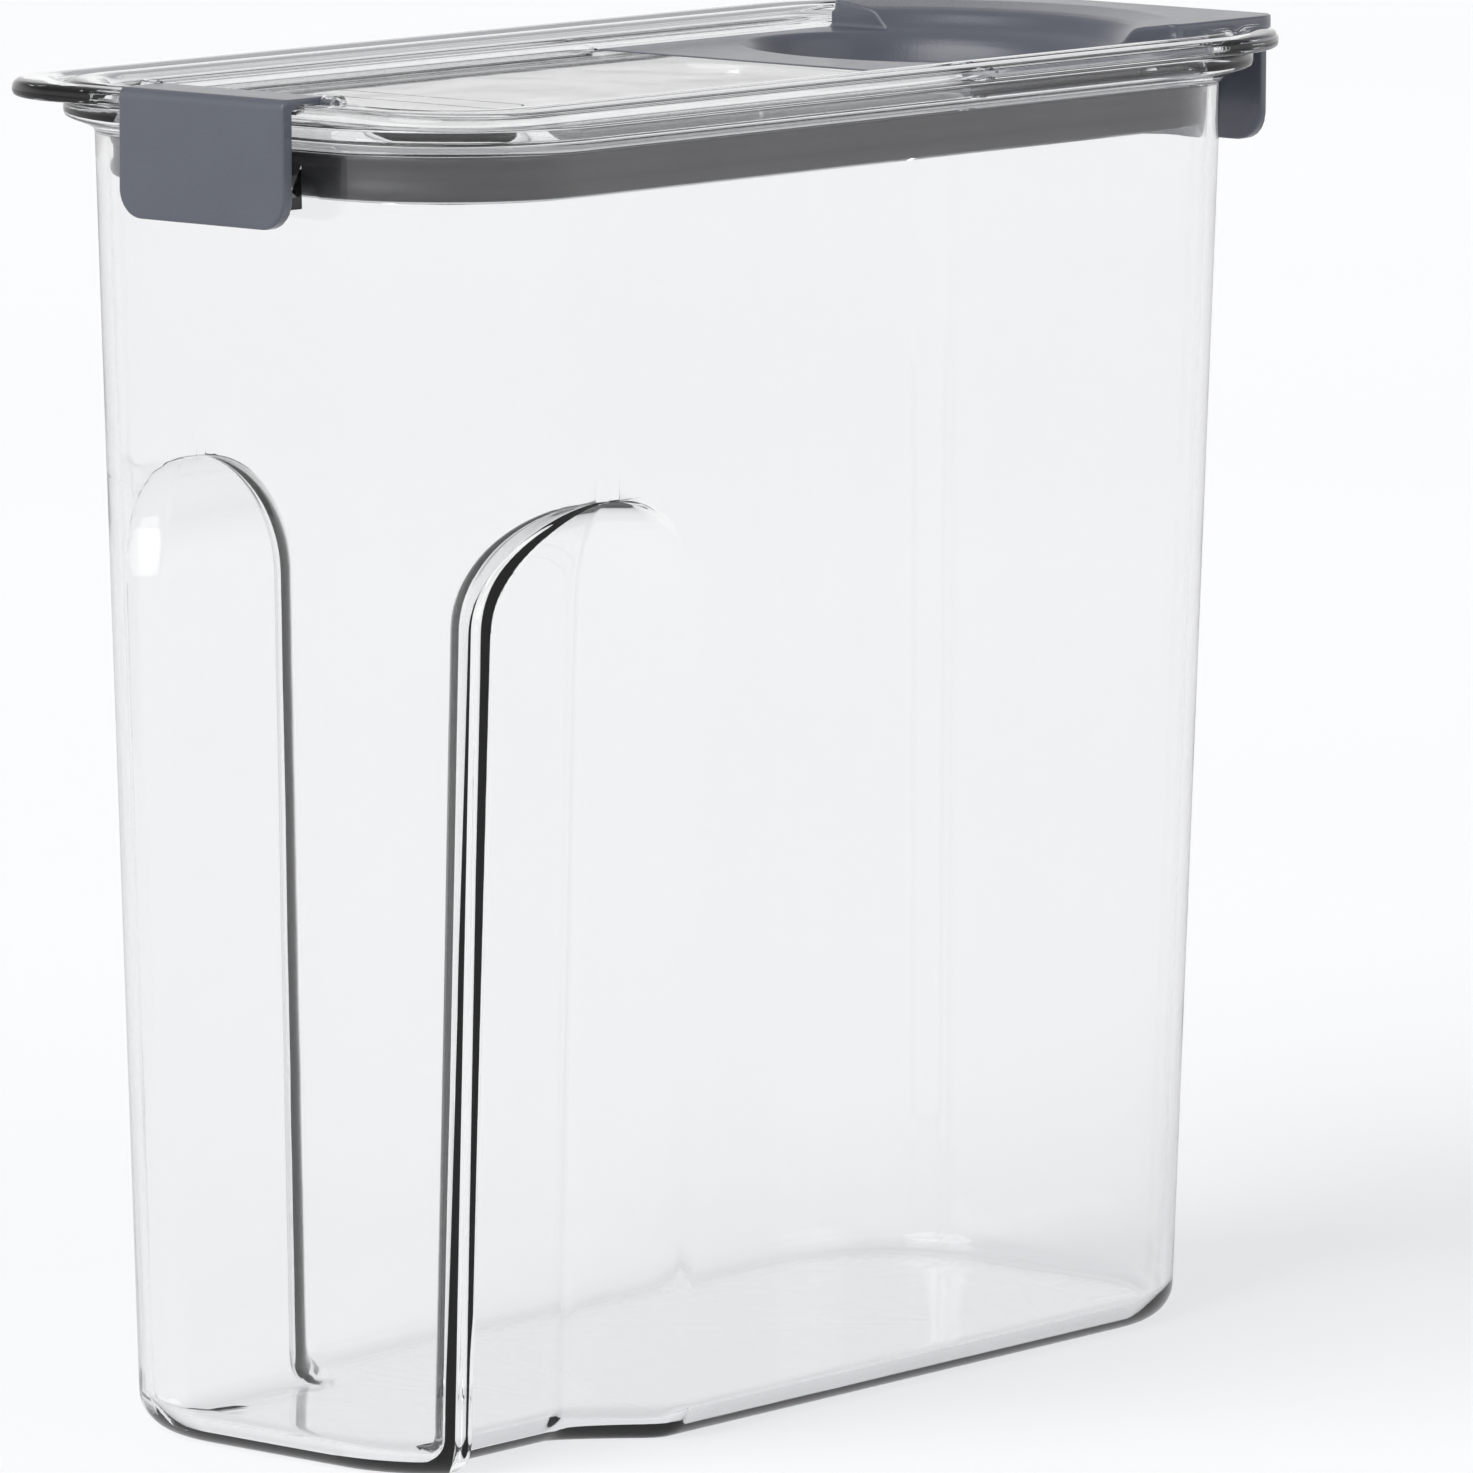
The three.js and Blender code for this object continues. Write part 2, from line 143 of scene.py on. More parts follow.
def corner_arc(cx, cy, r, a0, a1, steps):
    a = np.linspace(a0, a1, steps + 1)
    return np.stack([cx + r * np.cos(a), cy + r * np.sin(a)], 1)


def ring(o, corner=20, end=4, side=20):
    x0, x1, half, near, far = o
    ys = np.linspace(0, near - half, end + 1)[:-1]
    xs = np.linspace(x0 + near, x1 - far, side + 2)[1:-1]
    path = [np.stack([np.full(end, x0), ys], 1)]
    path.append(corner_arc(x0 + near, near - half, near, math.pi, 1.5 * math.pi, corner))
    path.append(np.stack([xs, np.full(side, -half)], 1))
    path.append(corner_arc(x1 - far, far - half, far, 1.5 * math.pi, 2 * math.pi, corner))
    ys = np.linspace(far - half, 0, end + 1)[1:]
    path.append(np.stack([np.full(end, x1), ys], 1))
    return mirrored(np.vstack(path))


def oval(x, rx, ry, steps=120):
    a = np.linspace(0, 2 * math.pi, steps, endpoint=False)
    return np.stack([x + rx * np.cos(a), ry * np.sin(a)], 1)


def smoothstep(x, a, b):
    t = np.clip((x - a) / (b - a), 0, 1)
    return t * t * (3 - 2 * t)


def grip_reach(z):
    rise = np.clip((z - GRIP_STRAIGHT) / (GRIP_TOP - GRIP_STRAIGHT), 0, 1)
    return np.sqrt(1 - rise * rise)


def grip_span(z, wall):
    reach = grip_reach(z)
    width = np.maximum(reach, GRIP_LEAST)
    start = GRIP_MIDDLE - (GRIP_MIDDLE - GRIP_NEAR) * width - wall
    end = GRIP_MIDDLE + (GRIP_FAR - GRIP_MIDDLE) * width + wall / 2
    return reach, width, start, end


def soft_max(a, b, round_by):
    near = np.maximum(round_by - np.abs(a - b), 0) / round_by
    return np.maximum(a, b) + near * near * round_by / 4


def grip_depth(x, z, wall):
    """How far the grip stands in from the flat side at x, z, and its share of the full depth."""
    reach, width, start, end = grip_span(z, wall)
    step = smoothstep(x, start, start + GRIP_STEP * width)
    climb = np.maximum(1 + (x - end) / (GRIP_RAMP * width), 0) ** GRIP_RAMP_BEND
    ramp = soft_max(1 - climb, 0, GRIP_CREASE)
    return GRIP_DEPTH * reach * step * ramp, reach * step * ramp


def side_point(o, s):
    x0, _, half, near, _ = o
    corner = near * math.pi / 2
    if s < corner:
        a = math.pi + s / near
        return [x0 + near + near * math.cos(a), near - half + near * math.sin(a)]
    return [x0 + near + s - corner, -half]


def side_distance(o, x):
    x0, _, _, near, _ = o
    if x < x0 + near:
        return near * math.acos((x0 + near - x) / near)
    return near * math.pi / 2 + x - x0 - near


def grip_ring(o, z, wall, before=14, grip=56, after=16, corner=20, end=4):
    x0, x1, half, near, far = o
    _, width, start, stop = grip_span(z, wall)
    stop += GRIP_RAMP * GRIP_CREASE * width
    s0, s1 = side_distance(o, start), side_distance(o, stop)
    s2 = near * math.pi / 2 + (x1 - far) - (x0 + near)
    path = [[x0, y] for y in np.linspace(0, near - half, end + 1)[:-1]]
    path += [side_point(o, s0 * i / before) for i in range(before)]
    for i in range(grip + 1):
        x, y = side_point(o, s0 + (s1 - s0) * (i / grip) ** 1.5)
        depth, share = grip_depth(x, z, wall)
        floor = depth - half
        path.append([x, soft_max(y, floor, 0.01 + GRIP_EDGE_ROUND * share)])
    path += [side_point(o, s1 + (s2 - s1) * i / after) for i in range(1, after)]
    path += corner_arc(x1 - far, far - half, far, 1.5 * math.pi, 2 * math.pi, corner).tolist()
    path += [[x1, y] for y in np.linspace(far - half, 0, end + 1)[1:]]
    return mirrored(path)


# ------------------------------------------------------------------ meshes

def mesh_object(name, verts, faces, smooth_deg=38):
    """An object from millimetre vertices in the container's frame."""
    mesh = bpy.data.meshes.new(name)
    places = (np.asarray(verts, float) + [SHIFT, 0, 0]) * MM
    mesh.from_pydata(places.tolist(), [], faces)
    mesh.validate()
    shade(mesh, smooth_deg)
    obj = bpy.data.objects.new(name, mesh)
    bpy.context.scene.collection.objects.link(obj)
    return obj


def shade(mesh, smooth_deg):
    mesh.shade_smooth()
    mesh.set_sharp_from_angle(angle=math.radians(smooth_deg))


def loft(name, layers, smooth_deg=38):
    """A closed skin through rings of equal length, each (points, z), with flat ends."""
    count = len(layers[0][0])
    verts = np.vstack([np.column_stack([p, np.full(count, z)]) for p, z in layers])
    faces = []
    for k in range(len(layers) - 1):
        for i in range(count):
            a, b = k * count + i, k * count + (i + 1) % count
            faces.append((a, b, b + count, a + count))
    last = (len(layers) - 1) * count
    faces.append(tuple(range(count - 1, -1, -1)))
    faces.append(tuple(range(last, last + count)))
    return mesh_object(name, verts, faces, smooth_deg)


def slab(name, points, low, high):
    return loft(name, [(points, low), (points, high)])


def block(name, x0, x1, half, low, high):
    points = np.array([[x0, -half], [x1, -half], [x1, half], [x0, half]])
    return slab(name, points, low, high)


def across(name, points, y0, y1):
    """An outline in XZ, counter-clockwise seen from -Y, carried from y0 to y1."""
    points = np.asarray(points, float)
    count = len(points)
    low = np.column_stack([points[:, 0], np.full(count, y0), points[:, 1]])
    high = np.column_stack([points[:, 0], np.full(count, y1), points[:, 1]])
    faces = [(i, (i + 1) % count, (i + 1) % count + count, i + count) for i in range(count)]
    faces.append(tuple(range(count - 1, -1, -1)))
    faces.append(tuple(range(count, 2 * count)))
    faces = [f[::-1] for f in faces]
    return mesh_object(name, np.vstack([low, high]), faces)


def bar(name, x, z, r, y0, y1, steps=40):
    a = np.linspace(0, 2 * math.pi, steps, endpoint=False)
    return across(name, np.stack([x + r * np.cos(a), z + r * np.sin(a)], 1), y0, y1)


def modify(obj, kind, **settings):
    made = obj.modifiers.new(kind.lower(), kind)
    for key, value in settings.items():
        setattr(made, key, value)
    return made


def bake_modifiers(obj):
    """The object's mesh with its modifiers applied."""
    shown = bpy.context.evaluated_depsgraph_get()
    made = bpy.data.meshes.new_from_object(obj.evaluated_get(shown))
    obj.modifiers.clear()
    obj.data = made
    return obj


def combine(target, operation, *others):
    """Joins others to target, cuts them from it or keeps what they share, and removes them."""
    for other in others:
        modify(target, "BOOLEAN", operation=operation, object=other, solver="EXACT")
        bake_modifiers(target)
        bpy.data.objects.remove(other)
    return target


def moulded(obj, voxel, rounds):
    """Rounds every edge a little, as moulded plastic has them."""
    modify(obj, "REMESH", mode="VOXEL", voxel_size=voxel * MM)
    bake_modifiers(obj)
    modify(obj, "SMOOTH", factor=0.5, iterations=rounds)
    bake_modifiers(obj)
    obj.data.shade_smooth()
    return obj


# ------------------------------------------------------------------ container

def make_container():
    layers = []
    steps = 10
    base = grip_ring(inset(body_outline(0), BASE_ROUND), 0, 0)
    for share in (0.9, 0.985):
        layers.append((base * share, 0))
    for i in range(steps):
        a = i * math.pi / 2 / steps
        z = BASE_ROUND * (1 - math.cos(a))
        o = inset(body_outline(z), BASE_ROUND * (1 - math.sin(a)))
        layers.append((grip_ring(o, z, 0), z))

    def heights(low, high):
        arch = GRIP_STRAIGHT + (GRIP_TOP - GRIP_STRAIGHT) * np.sin(np.linspace(0, math.pi / 2, 26))
        below = np.linspace(low, GRIP_STRAIGHT, 18)[:-1]
        above = np.linspace(GRIP_TOP, high, 9)[1:]
        return np.concatenate([below, arch, above])

    for z in heights(BASE_ROUND, WALL_TOP - 1.2):
        layers.append((grip_ring(body_outline(z), z, 0), z))
    flare = [(0.02, -0.7), (0.1, -0.1), (0.3, 0.5), (0.6, 1.1), (0.86, 1.6), (0.97, 2.0), (1, 2.6)]
    for t, dz in flare:
        z = WALL_TOP + dz
        o = body_outline(WALL_TOP) * (1 - t) + COLLAR * t
        layers.append((grip_ring(o, z, 0), z))
    for d, dz in ((0, 0.55), (0.08, 0.3), (0.25, 0.1), (0.5, 0)):
        layers.append((grip_ring(inset(COLLAR, d), BODY_RIM, 0), BODY_RIM - dz))

    def inner(z):
        return inset(body_outline(z), WALL)

    for d, dz in ((-0.5, 0), (-0.2, 0.1), (-0.05, 0.3)):
        layers.append((grip_ring(inset(inner(BODY_RIM), d), BODY_RIM, WALL), BODY_RIM - dz))
    for z in heights(FLOOR + INNER_ROUND, BODY_RIM - 0.6)[::-1]:
        layers.append((grip_ring(inner(z), z, WALL), z))
    for i in range(steps - 1, -1, -1):
        a = i * math.pi / 2 / steps
        z = FLOOR + INNER_ROUND * (1 - math.cos(a))
        o = inset(inner(z), INNER_ROUND * (1 - math.sin(a)))
        layers.append((grip_ring(o, z, WALL), z))
    for share in (0.985, 0.9):
        layers.append((layers[-1][0] * share, FLOOR))
    body = loft("container", layers, 50)

    root = BODY_TOP[0] + 1
    section = [
        (WEDGE_REACH + 0.4, WEDGE_LEDGE), (WEDGE_REACH + 0.1, WEDGE_LEDGE + 0.1),
        (WEDGE_REACH + 0.25, WEDGE_LEDGE + 0.35), (root, WALL_TOP - 1), (root, WEDGE_LEDGE),
    ]
    wedge = across("wedge", section, -WEDGE_HALF, WEDGE_HALF)
    combine(body, "UNION", wedge)
    shade(body.data, 50)
    return body


# ------------------------------------------------------------------ lid

def skirt_outline():
    return inset(body_outline(SKIRT_LOW), WALL + SEAL_SPACE)


def make_lid():
    skirt = skirt_outline()
    layers = []

    def add(o, z):
        layers.append((ring(o, 28), z))

    add(inset(skirt, SKIRT + 8), PANEL_TOP - PANEL)
    add(inset(skirt, SKIRT + 1), PANEL_TOP - PANEL)
    add(inset(skirt, SKIRT + 0.3), PANEL_TOP - PANEL - 0.3)
    add(inset(skirt, SKIRT), PANEL_TOP - PANEL - 1)
    add(inset(skirt, SKIRT), SKIRT_LOW + 0.5)
    add(inset(skirt, SKIRT - 0.5), SKIRT_LOW)
    add(inset(skirt, 0.5), SKIRT_LOW)
    add(skirt, SKIRT_LOW + 0.5)
    add(skirt, FLANGE_LOW - 0.8)
    add(inset(skirt, -0.2), FLANGE_LOW - 0.2)
    add(inset(skirt, -0.8), FLANGE_LOW)
    # Share of the way in from the flange's edge to the recess, and height.
    rim = [
        (0.1, FLANGE_LOW), (0.035, FLANGE_LOW + 0.02), (0.015, FLANGE_LOW + 0.2), (0.004, FLANGE_LOW + 0.6),
        (0, FLANGE_LOW + 1.2), (0.004, FLANGE_LOW + 1.8), (0.018, RIM_TOP - 0.65), (0.04, RIM_TOP - 0.3),
        (0.07, RIM_TOP - 0.1), (0.11, RIM_TOP), (0.2, RIM_TOP + 0.05), (0.3, RIM_TOP + 0.02),
        (0.35, RIM_TOP - 0.1), (0.385, RIM_TOP - 0.45), (0.41, RIM_TOP - 0.7), (0.44, RIM_TOP - 0.8),
        (0.48, RIM_TOP - 0.75), (0.51, RIM_TOP - 0.5), (0.54, RIM_TOP - 0.22), (0.58, RIM_TOP - 0.15),
        (0.68, RIM_TOP - 0.2), (0.76, RIM_TOP - 0.4), (0.82, RIM_TOP - 0.85), (0.86, RECESS_EDGE + 0.45),
        (0.9, RECESS_EDGE + 0.2), (0.95, RECESS_EDGE + 0.08), (0.98, RECESS_EDGE - 0.02),
        (0.995, RECESS_EDGE - 0.2), (1, RECESS_EDGE - 0.5), (1, PANEL_TOP + 0.35),
        (1.008, PANEL_TOP + 0.1), (1.03, PANEL_TOP),
    ]
    for t, z in rim:
        add(FLANGE + (RECESS - FLANGE) * t, z)
    add(inset(RECESS, 3), PANEL_TOP)
    lid = loft("lid", layers, 50)

    above = LIP_TOP + 1
    seat = slab("seat", ring(SEAT), SEAT_LOW, PANEL_TOP - 1)
    combine(lid, "UNION", seat)
    for y in (-1, 1):
        ends = sorted((y * NOTCH_HALF, y * (NOTCH_HALF + 3.2)))
        combine(lid, "UNION", bar("knuckle", LATCH_X, LATCH_Z, 1.6, *ends))
    well_outline = RECESS.copy()
    well_outline[0], well_outline[3] = DOOR_EDGE, 1.5
    well = slab("well", ring(well_outline), SEAT_TOP, above)
    opening = slab("opening", oval(*OPENING), SEAT_LOW - 1, above)
    lip_notch = block("lip_notch", LIP[0] - 1, FLANGE[1] + 1, LIP_NOTCH_HALF, LIP_LOW - 0.3, above)
    latch_notch = block("latch_notch", FLANGE[0] - 1, LATCH_X + 2.6, NOTCH_HALF, NOTCH_FLOOR, above)
    latch_holes = bar("latch_holes", LATCH_X, LATCH_Z, 1.1, -LATCH_HALF - 2.5, LATCH_HALF + 2.5)
    reach = RECESS[2] + 2.2
    door_holes = bar("door_holes", DOOR_X, DOOR_Z, 1.1, -reach, reach)
    blank = plaque()
    combine(lid, "DIFFERENCE", well, opening, lip_notch, latch_notch, latch_holes, door_holes, blank)
    shade(lid.data, 40)
    return lid


def plaque():
    """A shallow unmarked outline pressed into the panel near the latch."""
    big = outline(-73, -63, 21.5, 2.5, 2.5)
    outer = slab("plaque", ring(big, 8), PANEL_TOP - 0.25, PANEL_TOP + 1)
    inner = slab("plaque_in", ring(inset(big, 0.5), 8), PANEL_TOP - 1, PANEL_TOP + 2)
    return combine(outer, "DIFFERENCE", inner)


def make_lid_seal():
    outer = inset(body_outline(SEAL_LOW), WALL + 0.3)
    inner = inset(skirt_outline(), -0.3)
    height = SEAL_HIGH - SEAL_LOW
    layers = []
    profile = [
        (0.75, 0), (0.5, 0.02), (0.2, 0.07), (0, 0.16), (0, 0.22), (0.2, 0.3), (0.55, 0.36), (0.6, 0.42),
        (0.6, 0.58), (0.55, 0.64), (0.2, 0.7), (0, 0.78), (0, 0.84), (0.2, 0.93), (0.5, 0.98), (0.75, 1),
    ]
    for d, t in profile:
        layers.append((ring(inset(outer, d), 28), SEAL_LOW + height * t))
    seal = loft("seal", layers, 60)
    combine(seal, "DIFFERENCE", slab("seal_in", ring(inner, 28), SEAL_LOW - 1, SEAL_HIGH + 1))
    shade(seal.data, 60)
    return seal


# ------------------------------------------------------------------ latch

def upright(name, half, low, high, corner, x0, x1):
    """An upright plate with round lower corners."""
    a = corner_arc(corner - half, low + corner, corner, math.pi, 1.5 * math.pi, 16)
    b = corner_arc(half - corner, low + corner, corner, 1.5 * math.pi, 2 * math.pi, 16)
    points = np.vstack([a, b, [[half, high], [-half, high]]])
    count = len(points)
    verts = [np.column_stack([np.full(count, x), points]) for x in (x0, x1)]
    faces = [(i, (i + 1) % count, (i + 1) % count + count, i + count) for i in range(count)]
    faces.append(tuple(range(count - 1, -1, -1)))
    faces.append(tuple(range(count, 2 * count)))
    return mesh_object(name, np.vstack(verts), faces)


def make_latch():
    top = LATCH_Z + 1.2
    inner = LATCH_FACE + LATCH_PLATE
    plate = upright("latch", LATCH_HALF, LATCH_LOW, top, LATCH_CORNER, LATCH_FACE, inner)
    cover = block("cover", LATCH_FACE, LATCH_X, LATCH_HALF, top - 1.9, top)
    barrel = bar("barrel", LATCH_X, LATCH_Z, 1.2, -LATCH_HALF, LATCH_HALF)
    hook = block("hook", inner - 0.5, HOOK_TIP, LATCH_HALF - LATCH_CORNER, LATCH_LOW, 219.6)
    combine(plate, "UNION", cover, barrel, hook)
    corner = block("corner", LATCH_FACE - 1, LATCH_FACE + 1.6, LATCH_HALF + 1, top - 1.6, top + 1)
    rounding = bar("rounding", LATCH_FACE + 1.6, top - 1.6, 1.6, -LATCH_HALF - 2, LATCH_HALF + 2, 60)
    combine(corner, "DIFFERENCE", rounding)
    combine(plate, "DIFFERENCE", corner)
    moulded(plate, 0.22, 4)
    combine(plate, "UNION", bar("pins", LATCH_X, LATCH_Z, 0.8, -LATCH_HALF - 2.2, LATCH_HALF + 2.2))
    shade(plate.data, 50)
    return plate


# ------------------------------------------------------------------ pour door

def make_door():
    in_well = inset(RECESS, 0.4)
    in_well[0], in_well[3] = DOOR_X, 0.4
    half = in_well[2]
    plate = slab("door", ring(in_well), DOOR_LOW, DOOR_HIGH)
    barrel = bar("door_barrel", DOOR_X, DOOR_Z, 1.1, -half, half)
    plug = loft("plug", [(oval(PLUG[0], PLUG[1] - 1, PLUG[2] - 1), PLUG_LOW), (oval(*PLUG), DOOR_LOW + 0.5)])
    riser = slab("riser", ring(in_well), DOOR_LOW, LIP_LOW + 0.5)
    combine(riser, "INTERSECT", block("riser_part", LIP[0], LIP[1], LIP[2], DOOR_LOW - 1, LIP_LOW + 0.6))
    lip = slab("lip", ring(LIP), LIP_LOW, LIP_TOP)
    tab = upright("tab", TAB_HALF, TAB_LOW, LIP_TOP - 0.5, TAB_CORNER, TAB_INNER, TAB_FACE)
    combine(tab, "INTERSECT", slab("tab_part", ring(LIP), TAB_LOW - 1, LIP_TOP))
    combine(plate, "UNION", barrel, plug, riser, lip, tab)

    # Rings of the scoop from its floor to above the lip: mm outside its oval, and height.
    section = [
        (-31, 226.6), (-14, 226.65), (-11.4, 226.8), (-8.8, 227.2), (-6.6, 228.1), (-5, 229.4),
        (-3.9, 231), (-3.1, 232.5), (-2.2, 233.7), (-1.3, 234.5), (-0.6, 234.95), (0.1, 235.2),
        (0.8, 235.55), (1.5, 236.2), (2.2, 237.1), (2.9, 238), (3.8, 238.6), (5.5, 239),
        (8.5, 239.4), (11.5, 239.8), (13.5, 240.1), (15, 240.6),
    ]
    rings = [(oval(SCOOP[0], max(SCOOP[1] + g, 0.5), max(SCOOP[2] + g * (0.7 if g > -25 else 1.1), 0.5)), z)
             for g, z in section]
    combine(plate, "DIFFERENCE", loft("scoop", rings))
    bend = block("bend", TAB_FACE - 2, TAB_FACE + 1, TAB_HALF + 8, LIP_TOP - 2, LIP_TOP + 1)
    combine(bend, "DIFFERENCE", bar("bend_in", TAB_FACE - 2, LIP_TOP - 2, 2, -TAB_HALF - 9, TAB_HALF + 9, 60))
    combine(plate, "DIFFERENCE", bend)
    moulded(plate, 0.34, 4)
    end = half + 1.9
    combine(plate, "UNION", bar("door_pins", DOOR_X, DOOR_Z, 0.8, -end, end))
    shade(plate.data, 50)
    return plate


def make_door_seal():
    clear = 0.4
    x, rx, ry = OPENING
    low, high = 229.6, 232.3
    layers = []
    rounded = (
        (0.5, low), (0.12, low + 0.2), (0, low + 0.6),
        (0, high - 0.6), (0.12, high - 0.2), (0.5, high),
    )
    for d, z in rounded:
        layers.append((oval(x, rx - clear - d, ry - clear - d), z))
    seal = loft("pour_seal", layers, 60)
    px, prx, pry = PLUG
    combine(seal, "DIFFERENCE", slab("pour_seal_in", oval(px, prx + 0.3, pry + 0.3), low - 1, high + 1))
    shade(seal.data, 60)
    return seal


# ------------------------------------------------------------------ materials

def new_material(name):
    made = bpy.data.materials.new(name)
    made.use_nodes = True
    return made, made.node_tree.nodes, made.node_tree.links


def noise_node(nodes, links, where, scale, detail=4, rough=0.5):
    made = nodes.new("ShaderNodeTexNoise")
    made.inputs["Scale"].default_value = scale
    made.inputs["Detail"].default_value = detail
    made.inputs["Roughness"].default_value = rough
    links.new(where, made.inputs["Vector"])
    return made


def ramp_node(nodes, links, source, stops):
    made = nodes.new("ShaderNodeValToRGB")
    links.new(source, made.inputs["Fac"])
    line = made.color_ramp
    while len(line.elements) < len(stops):
        line.elements.new(0.5)
    for element, (place, colour) in zip(line.elements, stops):
        element.position = place
        element.color = (*colour, 1)
    return made


def bump_node(nodes, links, height, strength, distance):
    made = nodes.new("ShaderNodeBump")
    made.inputs["Strength"].default_value = strength
    made.inputs["Distance"].default_value = distance
    links.new(height, made.inputs["Height"])
    return made


def clear_plastic():
    """Polished clear plastic. It casts a thinned shadow and not a solid one."""
    made, nodes, links = new_material("clear_plastic")
    shader = nodes["Principled BSDF"]
    shader.inputs["Base Color"].default_value = (0.957, 0.96, 0.961, 1)
    shader.inputs["Roughness"].default_value = 0.015
    shader.inputs["IOR"].default_value = 1.49
    shader.inputs["Transmission Weight"].default_value = 1
    shader.inputs["Specular IOR Level"].default_value = 0.3
    place = nodes.new("ShaderNodeTexCoord").outputs["Object"]
    waves = noise_node(nodes, links, place, 28, 2)
    bump = bump_node(nodes, links, waves.outputs["Fac"], 0.035, 0.002)
    links.new(bump.outputs["Normal"], shader.inputs["Normal"])
    through = nodes.new("ShaderNodeBsdfTransparent")
    through.inputs["Color"].default_value = (0.82, 0.83, 0.835, 1)
    path = nodes.new("ShaderNodeLightPath")
    mix = nodes.new("ShaderNodeMixShader")
    links.new(path.outputs["Is Shadow Ray"], mix.inputs["Fac"])
    links.new(shader.outputs["BSDF"], mix.inputs[1])
    links.new(through.outputs["BSDF"], mix.inputs[2])
    links.new(mix.outputs["Shader"], nodes["Material Output"].inputs["Surface"])
    return made


def satin_plastic(name, dark, light, rough, grain, strength, coat=0):
    """Moulded plastic or rubber with a fine grain and a slightly cloudy colour."""
    made, nodes, links = new_material(name)
    shader = nodes["Principled BSDF"]
    place = nodes.new("ShaderNodeTexCoord").outputs["Object"]
    cloud = noise_node(nodes, links, place, 45, 3)
    tone = ramp_node(nodes, links, cloud.outputs["Fac"], [(0.3, dark), (0.7, light)])
    links.new(tone.outputs["Color"], shader.inputs["Base Color"])
    polish = noise_node(nodes, links, place, 160, 3)
    spread = nodes.new("ShaderNodeMapRange")
    spread.inputs["To Min"].default_value = rough - 0.04
    spread.inputs["To Max"].default_value = rough + 0.05
    links.new(polish.outputs["Fac"], spread.inputs["Value"])
    links.new(spread.outputs["Result"], shader.inputs["Roughness"])
    fine = noise_node(nodes, links, place, grain, 2, 0.6)
    bump = bump_node(nodes, links, fine.outputs["Fac"], strength, 0.0003)
    links.new(bump.outputs["Normal"], shader.inputs["Normal"])
    shader.inputs["Specular IOR Level"].default_value = 0.5
    shader.inputs["Coat Weight"].default_value = coat
    shader.inputs["Coat Roughness"].default_value = 0.22
    return made


def plain_floor():
    made, nodes, links = new_material("studio_floor")
    shader = nodes["Principled BSDF"]
    place = nodes.new("ShaderNodeTexCoord").outputs["Object"]
    cloud = noise_node(nodes, links, place, 1.2, 2)
    stops = [(0.3, (0.93, 0.93, 0.93)), (0.7, (0.95, 0.95, 0.95))]
    tone = ramp_node(nodes, links, cloud.outputs["Fac"], stops)
    links.new(tone.outputs["Color"], shader.inputs["Base Color"])
    shader.inputs["Roughness"].default_value = 0.7
    shader.inputs["Specular IOR Level"].default_value = 0.1
    shader.inputs["Emission Color"].default_value = (1, 1, 1, 1)
    shader.inputs["Emission Strength"].default_value = 0.08
    return made


# ------------------------------------------------------------------ the object

def finish_piece(piece, name, node, body, material):
    piece.name = name
    piece.data.materials.clear()
    piece.data.materials.append(material)
    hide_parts(node)
    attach(piece, body)


CLEAR = clear_plastic()
SLATE = satin_plastic("slate_plastic", dark=(0.069, 0.077, 0.098), light=(0.08, 0.089, 0.112),
                      rough=0.33, grain=2600, strength=0.2, coat=0.4)
SEAL = satin_plastic("seal_rubber", dark=(0.026, 0.025, 0.028), light=(0.037, 0.035, 0.038),
                     rough=0.5, grain=2600, strength=0.02)

body = make_container()
lid = make_lid()
finish_piece(body, "clear_container", "container_body", "container", CLEAR)
finish_piece(lid, "clear_lid", "lid_cover", "lid", CLEAR)
# Light that has bounced off the floor skips the clear pieces, because their own shadow already thins it.
body.visible_diffuse = lid.visible_diffuse = False
finish_piece(make_lid_seal(), "skirt_seal", "lid_seal", "lid", SEAL)
finish_piece(make_latch(), "end_latch", "front_latch", "latch", SLATE)
finish_piece(make_door(), "flip_door", "pour_door", "door", SLATE)
finish_piece(make_door_seal(), "plug_seal", "door_seal", "door", SEAL)


# ------------------------------------------------------------------ floor, light and camera

def add_floor():
    """A wide pale floor. Mirror-like reflections skip it and see the grey lower half of the world."""
    half = 20.0
    verts = [(-half, -half, 0), (half, -half, 0), (half, half, 0), (-half, half, 0)]
    mesh = bpy.data.meshes.new("floor")
    mesh.from_pydata(verts, [], [(0, 1, 2, 3)])
    floor = bpy.data.objects.new("floor", mesh)
    bpy.context.scene.collection.objects.link(floor)
    mesh.materials.append(plain_floor())
    floor.visible_glossy = False


def add_soft_sun(name, place, strength, spread):
    """A broad light a long way off, so it falls evenly on the floor. place only gives its direction."""
    light = bpy.data.lights.new(name, "SUN")
    light.energy = strength
    light.angle = math.radians(spread)
    obj = bpy.data.objects.new(name, light)
    obj.rotation_euler = Vector(place).to_track_quat("Z", "Y").to_euler()
    bpy.context.scene.collection.objects.link(obj)


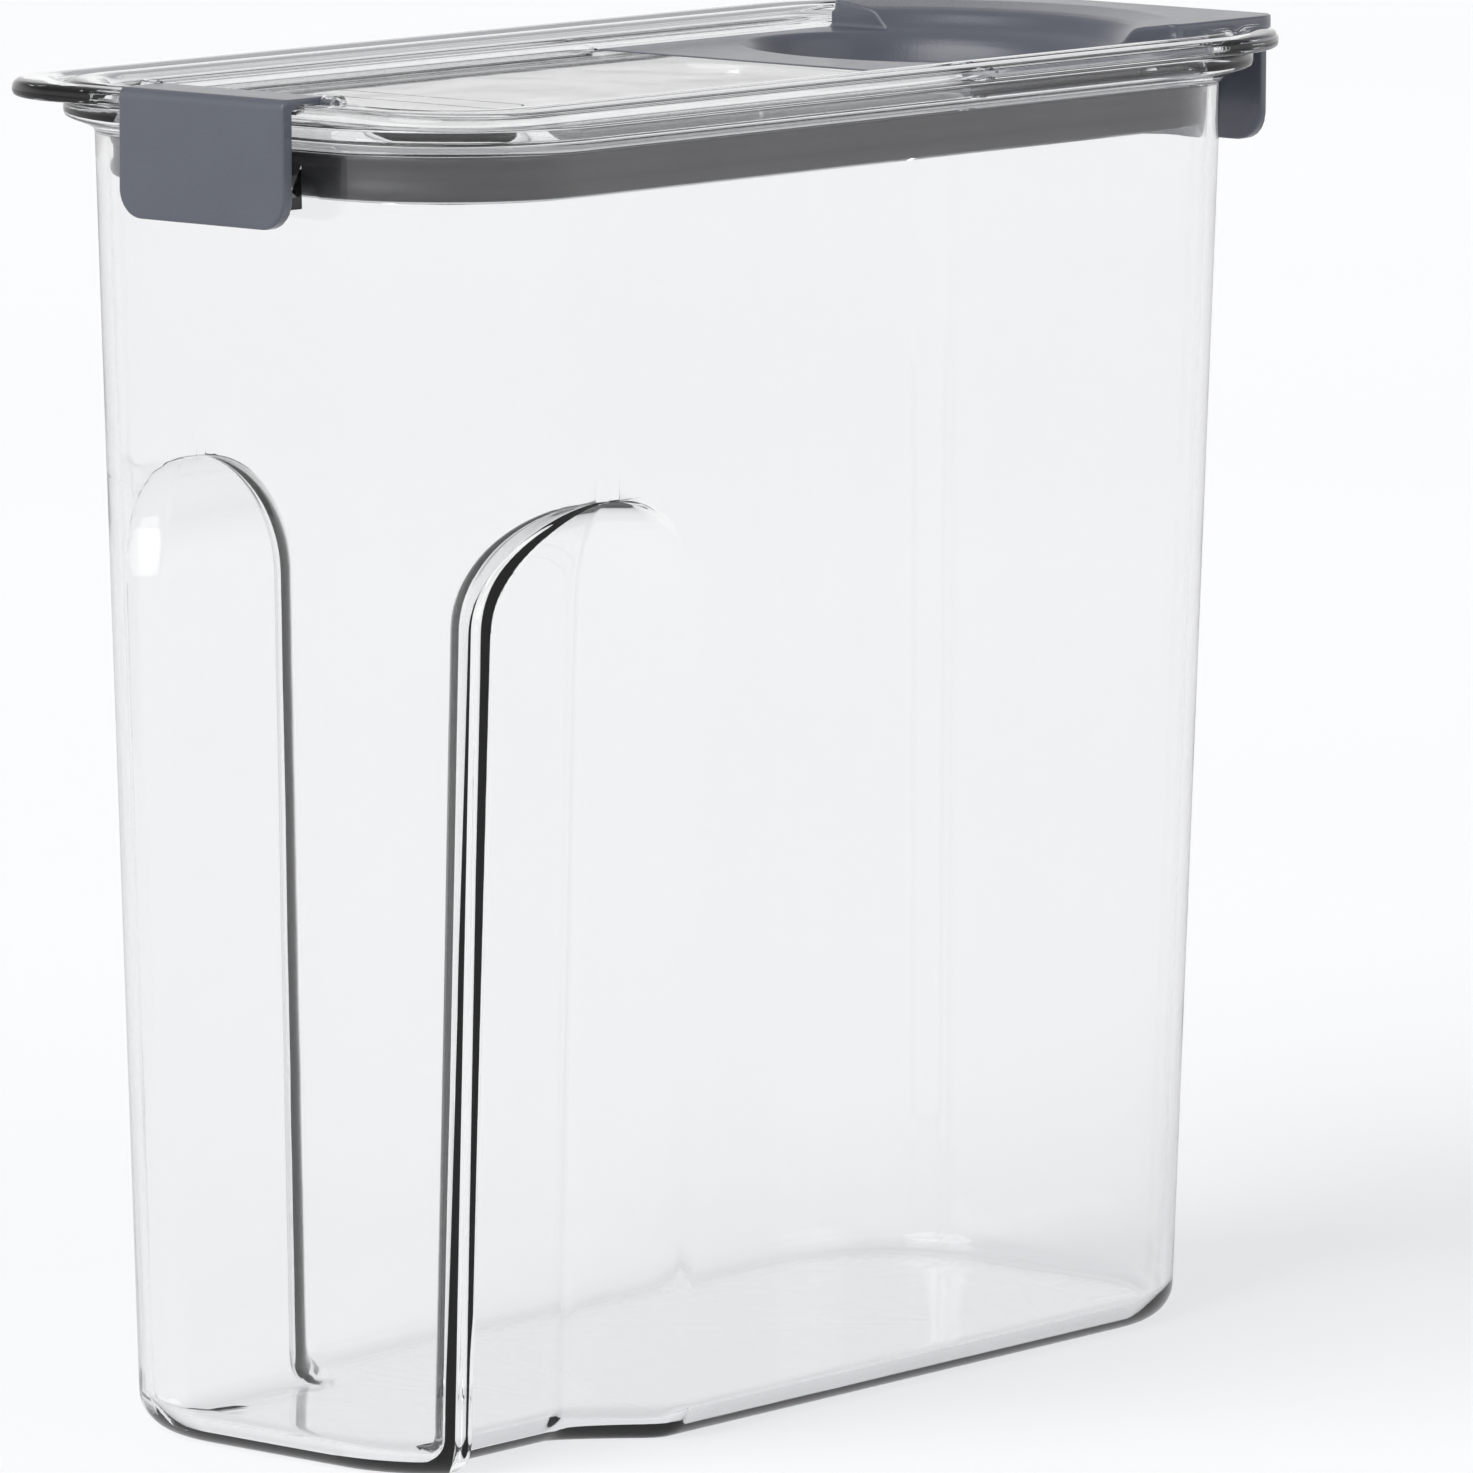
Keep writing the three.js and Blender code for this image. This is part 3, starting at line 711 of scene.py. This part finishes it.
def add_world():
    """A white band at the horizon, a soft light overhead, and grey below the horizon.
    The grey makes the clear edges stand out, as grey cards do in a studio."""
    world = bpy.data.worlds.new("studio")
    bpy.context.scene.world = world
    world.use_nodes = True
    nodes, links = world.node_tree.nodes, world.node_tree.links
    back = nodes["Background"]
    place = nodes.new("ShaderNodeTexCoord")
    split = nodes.new("ShaderNodeSeparateXYZ")
    links.new(place.outputs["Generated"], split.inputs[0])
    height = nodes.new("ShaderNodeMapRange")
    height.inputs["From Min"].default_value = -1
    links.new(split.outputs["Z"], height.inputs["Value"])
    # The horizon is at 0.5: 0 is straight down and 1 is straight up.
    tone = ramp_node(nodes, links, height.outputs["Result"], [
        (0.0, (0.8, 0.8, 0.815)), (0.45, (0.6, 0.6, 0.615)), (0.48, (1, 1, 1)), (0.6, (1, 1, 1)),
        (0.72, (0.4, 0.405, 0.42)), (1.0, (0.55, 0.555, 0.57)),
    ])
    links.new(tone.outputs["Color"], back.inputs["Color"])
    back.inputs["Strength"].default_value = 1


# The view: azimuth, elevation and roll in degrees, the sensor in mm, and the last four in metres.
VIEW_ANGLES = (-49.96, 8.41, 0.2)
SENSOR = 36
FOCAL_PIXELS = 11610
FRAME_PIXELS = 1473
DISTANCE = 2.0886
AIM_HEIGHT = 0.115
SIDESTEP = 0.01195
RISE = 0.00026


def add_camera():
    azimuth, elevation, roll = (math.radians(angle) for angle in VIEW_ANGLES)
    aim = Vector((SHIFT * MM, 0, AIM_HEIGHT))
    forward = Vector((-math.sin(azimuth) * math.cos(elevation), math.cos(azimuth) * math.cos(elevation),
                      -math.sin(elevation)))
    right = Vector((math.cos(azimuth), math.sin(azimuth), 0))
    up = right.cross(forward)
    rolled = right * math.cos(roll) + up * math.sin(roll)
    camera_up = rolled.cross(forward)
    camera = bpy.data.cameras.new("camera")
    camera.sensor_width = SENSOR
    camera.lens = FOCAL_PIXELS * SENSOR / FRAME_PIXELS
    camera.clip_end = 50
    obj = bpy.data.objects.new("camera", camera)
    turn = Matrix((rolled, camera_up, -forward)).transposed().to_4x4()
    place = aim - forward * DISTANCE + right * SIDESTEP + up * RISE
    obj.matrix_world = Matrix.Translation(place) @ turn
    bpy.context.scene.collection.objects.link(obj)
    bpy.context.scene.camera = obj


add_floor()
add_world()
add_camera()
add_soft_sun("key", (-1.5, 0.25, 1.15), 1.9, 50)
add_soft_sun("fill", (0.4, -1.9, 0.9), 0.5, 60)
bpy.context.scene.view_settings.view_transform = "Standard"
